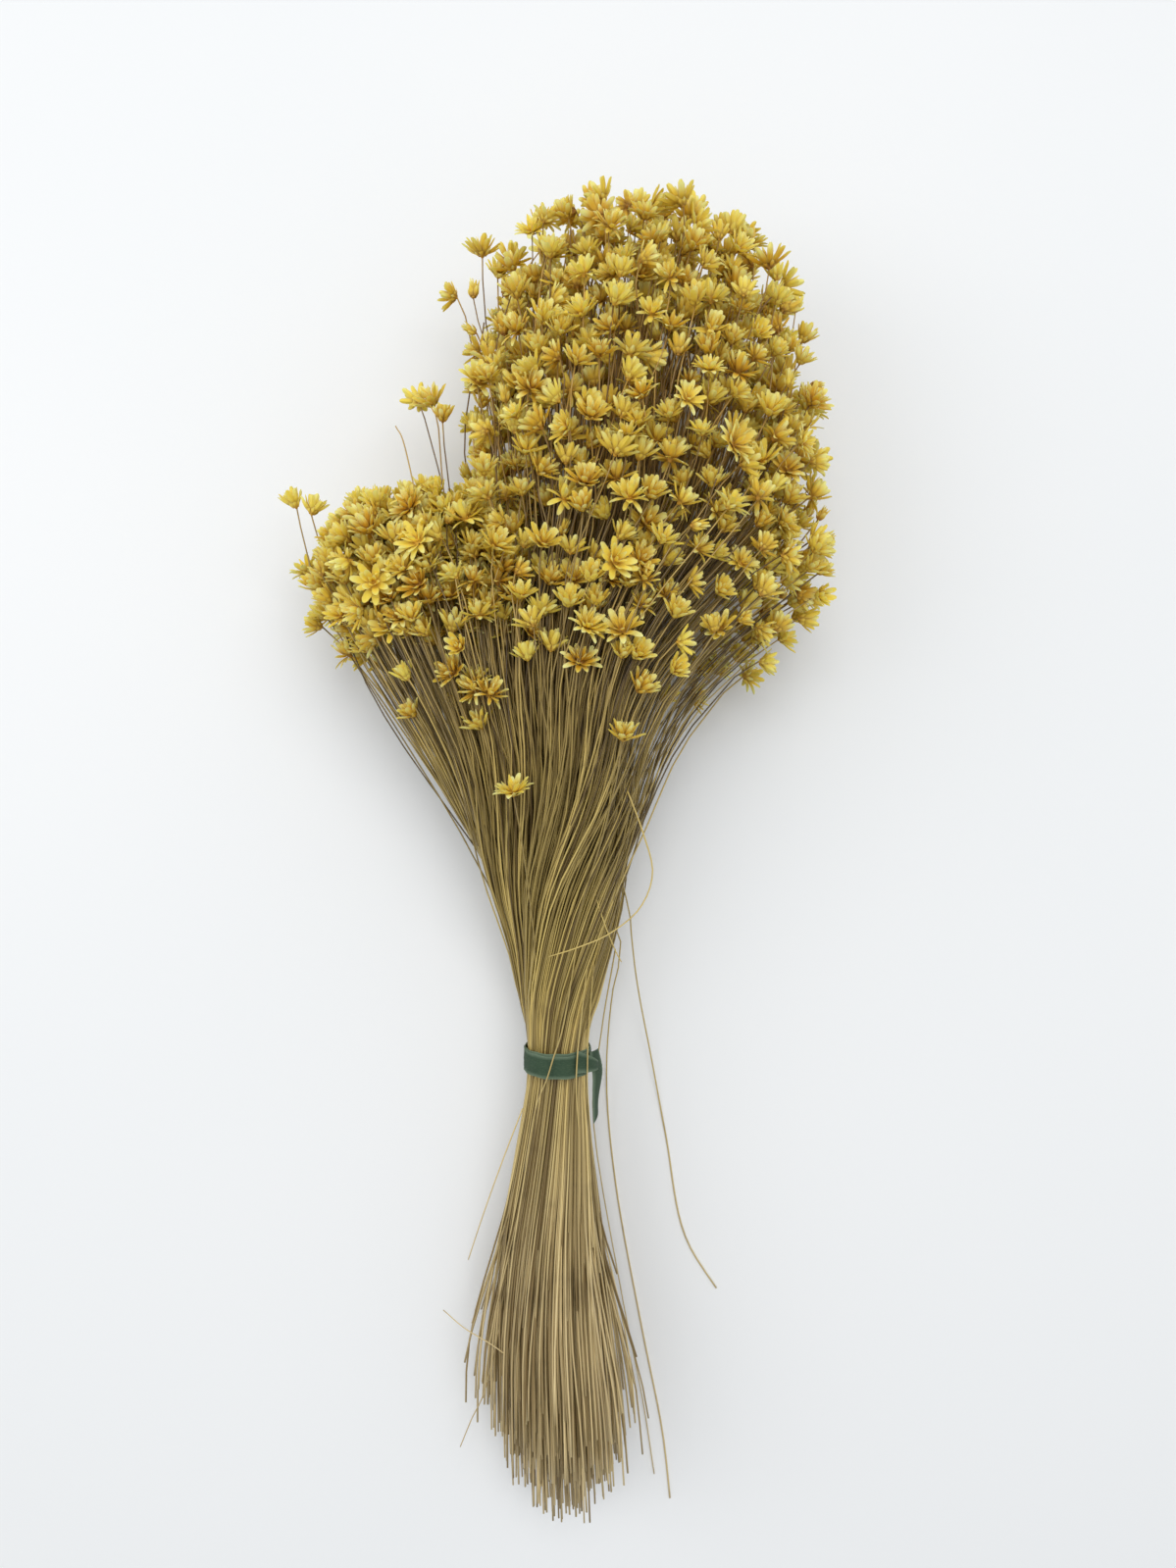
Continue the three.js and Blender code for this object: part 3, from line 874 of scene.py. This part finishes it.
def head_copy(kind, foot, direction, size):
    """A head of that kind with its foot at a point, facing a direction."""
    turned = direction.to_track_quat("Z", "Y").to_matrix().to_4x4()
    spin = Matrix.Rotation(rng.uniform(0, 2 * math.pi), 4, "Z")
    matrix = Matrix.Translation(foot) @ turned @ spin @ Matrix.Scale(size, 4)
    return copy_of(HEADS[kind], matrix, head_tone=float(np.clip(rng.normal(*HEAD_TONES), 0, 1)))


LOWEST = 0.15 * MM  # how far above the table the lowest of a piece lies
FLATTENED = 0.02  # what is left of the depth of anything pressed down by the table


def press_on_table(mesh):
    """Flattens what would reach into the table."""
    points = places_of(mesh)
    points[:, 2] = np.maximum(points[:, 2], LOWEST + np.minimum(points[:, 2], 0) * FLATTENED)
    mesh.vertices.foreach_set("co", points.ravel())


def bend_to(path, direction):
    """Turns the end of a stem to meet its head."""
    end = Vector(path[-1])
    start = Vector(path[-2])
    middle = end - direction * HEAD_BEND
    path[-2] = (start + middle) / 2
    path[-1] = end
    return path


def from_tie(points):
    """Points in metres, from millimetres right of the tie's middle, along from it and above the table."""
    return np.array(points) * MM + np.array((TIE.x, TIE.y, 0))


# Heads that stand out of the mass: outside its edge, and low down among the stems.
STRAY_HEADS = from_tie(
    [
        (-41, 311, 52), (-33, 304, 66), (-31, 329, 50), (-57, 269, 48), (-49, 262, 60), (-44, 251, 72),
        (98, 306, 50), (104, 216, 60), (99, 199, 74), (77, 180, 84), (-100, 221, 50), (-96, 176, 44),
        (-55, 137, 62), (-10, 156, 80), (-29, 145, 76), (31, 144, 82), (25, 156, 86), (-38, 152, 74),
        (44, 152, 80), (12, 166, 88), (-107, 225, 46), (60, 166, 84), (-28, 131, 72), (69, 172, 78),
    ]
)


def send_to(path, target):
    """Splays the upper part of a stem so that it ends at a point of its own."""
    start = TIE.y + SPLAY_FROM
    share = np.clip((path[:, 1] - start) / (path[-1, 1] - start), 0, 1) ** SPLAY_CURVE
    return path + share[:, None] * (target - path[-1])


def give_strays(places, heads):
    """Gives each stray head's place to the stem that passes nearest to it, and returns those stems."""
    across, up, _ = np.array(places).T
    chosen = []
    for target in STRAY_HEADS:
        away = np.linalg.norm(in_sheaf(across, up, np.full(len(across), target[1])) - target, axis=1)
        away[chosen] = FAR
        chosen.append(int(away.argmin()))
        heads[chosen[-1]] = target
    return chosen


def make_bundles():
    """Every stem that the CAD bundles stand for, with its head, as one piece for each node."""
    places = stem_places()
    feet = plan_heads(places)
    strays = give_strays(places, feet)
    grown = {n: dict(paths=[], thick=[], tones=[], heads=[]) for n in NUMBERS}
    for i, ((across, up, bundle), foot) in enumerate(zip(places, feet)):
        group = grown[NUMBERS[bundle]]
        below_tie = twisted(across, up, TIE.y)
        cut_beside = np.hypot(*(PLACES - below_tie).T).argmin()
        start = CUT_ENDS[cut_beside] + (rng.beta(1.6, 2.6) - CUT_BELOW) * CUT_RAGGED
        broken = rng.random() < BROKEN[int(below_tie[0] > 0)]
        start += broken * rng.beta(1, 1.5) * BROKEN_BY
        path = send_to(stem_path(across, up, start, foot[1], 1 + broken), foot)
        direction = head_direction(path, across, up)
        group["paths"].append(bend_to(path, direction))
        group["thick"].append(rng.uniform(*THICKNESSES))
        group["tones"].append(rng.uniform(0, 1))
        kind = rng.choice(len(HEADS), p=HEAD_SHARES)
        size = rng.uniform(*HEAD_SIZES)
        if i in strays or rng.random() > HEADLESS:
            group["heads"].append(head_copy(kind, Vector(path[-1]), direction, size))
    for number, points, thickness in EXTRA_STEMS:
        group = grown[number]
        group["paths"].append(curve_through(points))
        group["thick"].append(thickness)
        group["tones"].append(rng.uniform(0.5, 1))
    for number, group in grown.items():
        name = "stem_bundle_" + number + "_stems"
        stems = make_stems(name, group["paths"], group["thick"], group["tones"])
        finish_piece(stems, "dried_stem", "stem_bundle_" + number)
        heads = joined("flower_cluster_" + number + "_heads", group["heads"])
        press_on_table(heads.data)
        heads.data.materials.clear()
        heads.data.materials.append(BRACTS)
        finish_piece(heads, "dried_flower", "flower_cluster_" + number)


def curve_through(points, steps=26):
    """A smooth line through a few points."""
    points = np.array(points)
    padded = np.vstack([2 * points[0] - points[1], points, 2 * points[-1] - points[-2]])
    found = []
    for t in np.linspace(0, len(points) - 1 - 1e-9, steps):
        i = int(t)
        a, b, c, d = padded[i : i + 4]
        u = t - i
        found.append(b + 0.5 * u * (c - a + u * (2 * a - 5 * b + 4 * c - d + u * (3 * (b - c) + d - a))))
    return np.array(found)


# Stems that leave the sheaf: a curl over the neck, some that pass outside the tape, and tips that stick out.
# Each has the bundle that it is counted with, its points as from_tie takes them, and its thickness.
EXTRA_STEMS = [
    (number, from_tie(points), thickness)
    for number, points, thickness in [
        (
            "24",
            [
                (28, 108, 62), (34, 92, 60), (38, 76, 57), (33, 62, 55), (21, 52, 55), (8, 46.5, 56),
                (-3, 43, 55),
            ],
            0.9,
        ),
        (
            "22",
            [
                (9, 52, 46), (3, 16, 44.6), (-1.2, 2, 44.4), (-4, -7, 44.2), (-8.5, -19, 43),
                (-13, -44, 40),
            ],
            0.9,
        ),
        ("23", [(13, 44, 43), (9.6, 15, 42.2), (8.2, 0, 42.8), (8, -14, 42), (10, -40, 38)], 0.85),
        ("24", [(15, 40, 41), (13, 14, 39.6), (12.4, 0, 39.6), (12.6, -16, 38.4), (15, -44, 34)], 0.8),
        ("16", [(-14, -20, 36), (-21, -38, 36), (-29, -60, 35), (-36, -81, 33)], 0.8),
        ("10", [(-19, -122, 28), (-27, -116, 29), (-38, -110, 28), (-47, -104, 25)], 0.75),
        ("10", [(-24, -112, 24), (-30, -138, 20), (-36, -152, 16), (-41, -165, 12)], 0.8),
        ("20", [(12, 82, 48), (17, 62, 48), (23, 46, 46), (26, 40, 45)], 0.75),
        (
            "15",
            [
                (24, 44, 30), (18, 8, 26), (15, -30, 22), (27, -104, 8), (36, -150, 2), (41, -182, 0.6),
            ],
            0.8,
        ),
        ("21", [(-50, 206, 80), (-58, 240, 76), (-62, 249, 74)], 0.8),
        ("05", [(-88, 186, 26), (-100, 196, 24), (-105, 203, 22)], 0.8),
    ]
]

make_bundles()


# ---- Loose flowers and stems ----
def centre_line(node, steps):
    """The middle of a rod-like CAD node, from its lowest y to its highest."""
    points = corners(node)
    edges = np.linspace(points[:, 1].min(), points[:, 1].max() + 1e-6, steps + 1)
    found = []
    for low, high in zip(edges, edges[1:]):
        inside = points[(points[:, 1] >= low) & (points[:, 1] < high)]
        if len(inside) >= STEM_SIDES:
            found.append(inside.mean(0))
    return np.array(found)


def make_loose_flower(number):
    """A flower that stands apart, along its CAD node."""
    node = f"loose_flower_{number}"
    line = centre_line(node, 18)[:-1]
    direction = Vector(line[-1] - line[-2]).normalized()
    stem = make_stems(node + "_stem", [line], [1.0], [0.35])
    head = head_copy((number * 2) % 5, Vector(line[-1]), direction, 1.0)
    head.data.materials.clear()
    head.data.materials.append(BRACTS)
    flower = joined(node + "_piece", [stem, head])
    press_on_table(flower.data)
    finish_piece(flower, "dried_flower", node)


for number in range(1, 7):
    make_loose_flower(number)


def make_loose_stem(number, inside):
    """A stem that has slipped half out of the tie. inside is the place in the sheaf that it comes from."""
    node = f"loose_stem_{number}"
    line = centre_line(node, 20)
    top = line[-1, 1]
    root = in_sheaf(*inside, np.array([top + 22 * MM, top + 44 * MM]))
    line = np.vstack([line, root])
    line[:, 2] = np.maximum(line[:, 2], ON_TABLE)
    stem = make_stems(node + "_piece", [curve_through(line, 34)], [1.0], [0.7])
    finish_piece(stem, "dried_stem", node)


make_loose_stem(1, (2.5, 0.3))
make_loose_stem(2, (2.3, -0.2))


# ---- Tape ----
TAPE_THICK = 0.28 * MM
SOFT_EDGE = 0.05 * MM
RING_SIDES = 96
RING_ROWS = 6
TURN_WIDTH = 0.9  # one turn's share of the whole band's width
BAND_SAG = 1.9 * MM  # how far the band's top lies nearer the cut ends than its sides
BAND_SLANT_TURN = 0.6  # radians from the side to where a slanted turn is highest
CREASES = ((0.1 * MM, 23, 900), (0.08 * MM, 11, -1500))  # depth, how many round the band, and how slanted
SCALLOPS = (0.12 * MM, 9)  # depth of those along the edges, and how many there are
CAD_TAPE = 0.6 * MM  # thickness of the CAD band
WALL_X = (BAND_HIGH.x - BAND_LOW.x) / 2 - CAD_TAPE  # its inner wall
WALL_Z = (BAND_HIGH.z - BAND_LOW.z) / 2 - CAD_TAPE


def tape_ring(name, grow, shift, slant):
    """One turn of tape round the neck, grow outside the CAD band's inner wall."""
    deselect()
    width = TAPE_WIDTH * TURN_WIDTH
    bpy.ops.mesh.primitive_cylinder_add(
        vertices=RING_SIDES,
        radius=1,
        depth=width,
        end_fill_type="NOTHING",
        rotation=(math.pi / 2, 0, 0),
    )
    ring = newest(name)
    half_x = WALL_X + grow
    half_z = WALL_Z + grow
    ring.scale = (half_x, half_z, 1)
    bpy.ops.object.transform_apply(rotation=True, scale=True)
    bpy.ops.object.mode_set(mode="EDIT")
    for row in range(1, RING_ROWS):
        bpy.ops.mesh.select_all(action="SELECT")
        cut = (0, (row / RING_ROWS - 0.5) * width, 0)
        bpy.ops.mesh.bisect(plane_co=cut, plane_no=(0, 1, 0))
    bpy.ops.mesh.select_all(action="SELECT")
    bpy.ops.mesh.normals_make_consistent(inside=False)
    bpy.ops.object.mode_set(mode="OBJECT")
    points = places_of(ring.data)
    angle = np.arctan2(points[:, 2] / half_z, points[:, 0] / half_x)
    edge = abs(points[:, 1]) / (width / 2)
    crease = sum(deep * np.sin(angle * count + points[:, 1] * slanted) for deep, count, slanted in CREASES)
    points[:, 0] *= 1 + crease / half_x
    points[:, 2] *= 1 + crease / half_z
    points[:, 1] += shift - BAND_SAG * np.sin(angle) + slant * np.sin(angle + BAND_SLANT_TURN)
    points[:, 1] += SCALLOPS[0] * np.sin(angle * SCALLOPS[1]) * (edge > 0.9)
    ring.data.vertices.foreach_set("co", (points + np.array(TIE)).astype(np.float32).ravel())
    set_attribute(ring.data, "edge", (edge > 0.95).astype(float))
    thicken(ring)
    return ring


def thicken(piece):
    """Gives a strip of tape its thickness, with softened edges, and its material."""
    deselect()
    piece.select_set(True)
    bpy.context.view_layer.objects.active = piece
    solid = piece.modifiers.new("thickness", "SOLIDIFY")
    solid.thickness = TAPE_THICK
    solid.offset = 1
    bpy.ops.object.modifier_apply(modifier=solid.name)
    bevel = piece.modifiers.new("soft_edges", "BEVEL")
    bevel.width = SOFT_EDGE
    bevel.segments = 1
    bevel.angle_limit = math.radians(50)
    bpy.ops.object.modifier_apply(modifier=bevel.name)
    bpy.ops.object.shade_smooth_by_angle(angle=math.radians(40))
    piece.data.materials.append(TAPE)


under = tape_ring("under_turn", 0.02 * MM, 0.25 * MM, 0.2 * MM)
over = tape_ring("over_turn", 0.36 * MM, -0.35 * MM, -0.25 * MM)
band = joined("tie_band_tape", [under, over])
finish_piece(band, "green_tape", "tie_band")


def tape_strip(name, upper, lower, hollow):
    """A strip of tape between two edges, each a row of points, bowed out across its width by hollow."""
    deselect()
    bpy.ops.mesh.primitive_grid_add(x_subdivisions=4, y_subdivisions=len(upper) - 1, size=2)
    strip = newest(name)
    points = places_of(strip.data)
    column = points[:, 0].copy()
    row = np.round((points[:, 1] + 1) / 2 * (len(upper) - 1)).astype(int)
    across = (column[:, None] + 1) / 2
    placed = lower[row] * (1 - across) + upper[row] * across
    bow = (1 - column**2)[:, None] * hollow
    strip.data.vertices.foreach_set("co", (placed + bow * np.array((1, 0, 0.4))).astype(np.float32).ravel())
    set_attribute(strip.data, "edge", (abs(column) > 0.95).astype(float))
    bpy.ops.object.mode_set(mode="EDIT")
    bpy.ops.mesh.select_all(action="SELECT")
    bpy.ops.mesh.normals_make_consistent(inside=False)
    bpy.ops.object.mode_set(mode="OBJECT")
    thicken(strip)
    return strip


TAIL_LOW, TAIL_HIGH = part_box("tie_tail")
TAIL_POINTS = 16
TAIL_START = 2.5 * MM  # how far below the top of the CAD tail the free end starts
TAIL_SHORTER = 1 * MM  # and how much shorter it is
TAIL_WAVE = 0.5 * MM  # how far it bows from side to side along its length
TAIL_TUCK = 1.3 * MM  # how much nearer the neck it starts
TAIL_DROP = 0.6 * MM  # how much nearer the table it ends
TAIL_LEAN = 18  # degrees from upright,
TAIL_TURN = 7  # and by how much that changes along it
TAIL_SLANT = 3 * MM  # how much shorter its lower edge is
TAIL_NARROWER = 0.97  # its width, as a share of the tape's
TAIL_CROWN = 0.5 * MM  # how far it bows out across its width


def make_tail():
    """The free end, which comes off the band's side and runs on towards the cut ends, leaning outwards."""
    t = np.linspace(0, 1, TAIL_POINTS)
    y = TAIL_HIGH.y - TAIL_START - t * (TAIL_HIGH.y - TAIL_LOW.y - TAIL_SHORTER)
    middle_x = (TAIL_LOW.x + TAIL_HIGH.x) / 2 + TAIL_WAVE * np.sin(t * 5 + 0.4)
    middle_x -= TAIL_TUCK * (1 - smoothstep(t * 2.5))
    middle_z = TIE.z - TAIL_DROP * t
    lean = np.radians(TAIL_LEAN + TAIL_TURN * np.sin(t * 4.2 + 0.5))
    half = TAPE_WIDTH / 2 * TAIL_NARROWER
    upper = np.column_stack([middle_x - half * np.sin(lean), y, middle_z + half * np.cos(lean)])
    slanted = y + TAIL_SLANT * t
    lower = np.column_stack([middle_x + half * np.sin(lean), slanted, middle_z - half * np.cos(lean)])
    tail = tape_strip("tie_tail_tape", upper, lower, TAIL_CROWN)
    finish_piece(tail, "green_tape", "tie_tail")


FOLD_POINTS = 12
FOLD_FROM = 58  # degrees up round the neck from its side at which the fold starts,
FOLD_TURN = 78  # and how far round it goes from there
FOLD_OUT = 1.5 * MM  # how far outside the band's inner wall it starts,
FOLD_FURTHER = 1.9 * MM  # and how much further out it ends
FOLD_CROWN = 0.12 * MM


def make_fold():
    """The corner of tape folded down over the band's side, which the free end comes out from under."""
    t = np.linspace(0, 1, FOLD_POINTS)
    angle = np.radians(FOLD_FROM - FOLD_TURN * t)
    out = FOLD_OUT + FOLD_FURTHER * smoothstep(t * 1.2)
    x = TIE.x + (WALL_X + out) * np.cos(angle)
    z = TIE.z + (WALL_Z + out) * np.sin(angle)
    half = TAPE_WIDTH / 2
    lower = np.column_stack([x, TIE.y - half * (0.96 + 0.12 * t), z])
    upper = np.column_stack([x, TIE.y + half * (0.9 - 1.7 * t), z])
    fold = tape_strip("tie_fold_tape", upper, lower, FOLD_CROWN)
    finish_piece(fold, "green_tape", "tie_fold")


make_tail()
make_fold()

# The pieces that the heads were copied from aren't part of the bunch.
for model in [cupped, spreading, short, inner, receptacle, *HEADS]:
    bpy.data.objects.remove(model)
